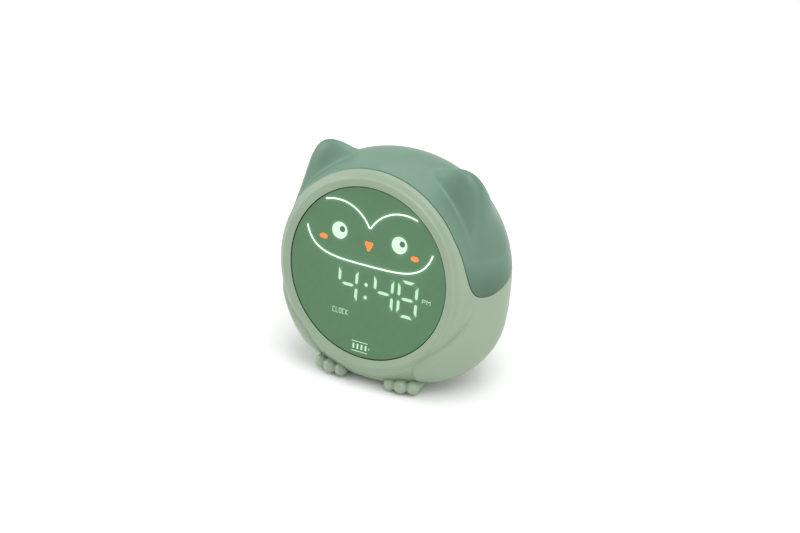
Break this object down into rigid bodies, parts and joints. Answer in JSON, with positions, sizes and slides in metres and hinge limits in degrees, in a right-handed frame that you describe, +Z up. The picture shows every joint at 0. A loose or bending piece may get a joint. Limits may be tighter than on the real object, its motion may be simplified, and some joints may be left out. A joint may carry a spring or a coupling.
{
  "type": "alarm clock with night light",
  "caption": "Owl-shaped alarm clock with a round lit display, a translucent night-light hood with two ears, two feet, rear keys and a slide switch.",
  "frame": {"origin": "centre of the bounding box's underside, on the surface the clock stands on", "axes": "+Z up, +X to the right of someone facing the display, -Y the way the display faces; the face leans back 8.6 degrees"},
  "size_m": [0.1308, 0.0842, 0.1216],
  "materials": {
    "sage_front": "satin",
    "sage_body": "satin",
    "hood_plastic": "satin",
    "lens_green": "satin",
    "foot_plastic": "satin",
    "mark_mint": "smooth",
    "mark_pale": "smooth",
    "mark_white": "smooth",
    "mark_orange": "smooth",
    "pupil_green": "smooth",
    "white_plastic": "satin",
    "foam_black": "matte",
    "board_green": "satin",
    "chip_black": "satin",
    "connector_cream": "satin",
    "led_amber": "satin",
    "screw_steel": "machined",
    "metal_plated": "satin",
    "cell_silver": "satin",
    "cone_paper": "matte",
    "pad_rubber": "matte",
    "button_plastic": "satin",
    "spring_steel": "polished"
  },
  "bodies": {
    "case": {"front_shell": "sage_front", "rear_shell": "sage_body", "hood": "hood_plastic", "rear_panel": "sage_body", "display_window": "lens_green", "display_gasket": "foam_black", "light_block": "white_plastic", "digit_segments": "mark_mint", "display_words": "mark_mint", "battery_icon": "mark_mint", "face_lines": "mark_white", "eye_lights": "mark_pale", "eye_pupils": "pupil_green", "cheek_lights": "mark_orange", "beak_light": "mark_orange", "display_board": "board_green", "display_leds": "led_amber", "display_screws": "screw_steel", "inner_frame": "white_plastic", "frame_screws": "screw_steel", "main_board": "board_green", "board_screws": "screw_steel", "board_chips": "chip_black", "board_connectors": "connector_cream", "battery_tray": "white_plastic", "battery_cell": "cell_silver", "lamp_tray": "white_plastic", "lamp_board": "board_green", "lamp_leds": "led_amber", "touch_spring": "spring_steel", "case_screws": "screw_steel", "button_board": "board_green", "tact_switches": "chip_black", "power_switch_body": "metal_plated", "usb_c_port": "metal_plated", "speaker_frame": "chip_black", "speaker_magnet": "metal_plated", "speaker_cone": "cone_paper", "speaker_gasket": "foam_black", "foot_left": "foot_plastic", "foot_right": "foot_plastic", "foot_pads": "pad_rubber"},
    "alarm_key": {"button_alarm": "button_plastic", "plunger_alarm": "chip_black"},
    "minus_key": {"button_minus": "button_plastic", "plunger_minus": "chip_black"},
    "set_key": {"button_set": "button_plastic", "plunger_set": "chip_black"},
    "plus_key": {"button_plus": "button_plastic", "plunger_plus": "chip_black"},
    "light_key": {"button_light": "button_plastic", "plunger_light": "chip_black"},
    "power_slider": {"power_switch_knob": "chip_black"}
  },
  "joints": [
    {"name": "alarm_press", "type": "slide", "parent": "case", "child": "alarm_key", "axis": [0, -0.9887, 0.15], "range_m": [0, 0.0004], "stiffness_N_per_m": 1200, "springref_m": -0.0004},
    {"name": "minus_press", "type": "slide", "parent": "case", "child": "minus_key", "axis": [0, -0.9887, 0.15], "range_m": [0, 0.0004], "stiffness_N_per_m": 1200, "springref_m": -0.0004},
    {"name": "set_press", "type": "slide", "parent": "case", "child": "set_key", "axis": [0, -0.9887, 0.15], "range_m": [0, 0.0004], "stiffness_N_per_m": 1200, "springref_m": -0.0004},
    {"name": "plus_press", "type": "slide", "parent": "case", "child": "plus_key", "axis": [0, -0.9887, 0.15], "range_m": [0, 0.0004], "stiffness_N_per_m": 1200, "springref_m": -0.0004},
    {"name": "light_press", "type": "slide", "parent": "case", "child": "light_key", "axis": [0, -0.9887, 0.15], "range_m": [0, 0.0004], "stiffness_N_per_m": 1200, "springref_m": -0.0004},
    {"name": "power_slide", "type": "slide", "parent": "case", "child": "power_slider", "axis": [0, 0.15, 0.9887], "range_m": [0, 0.002]}
  ]
}
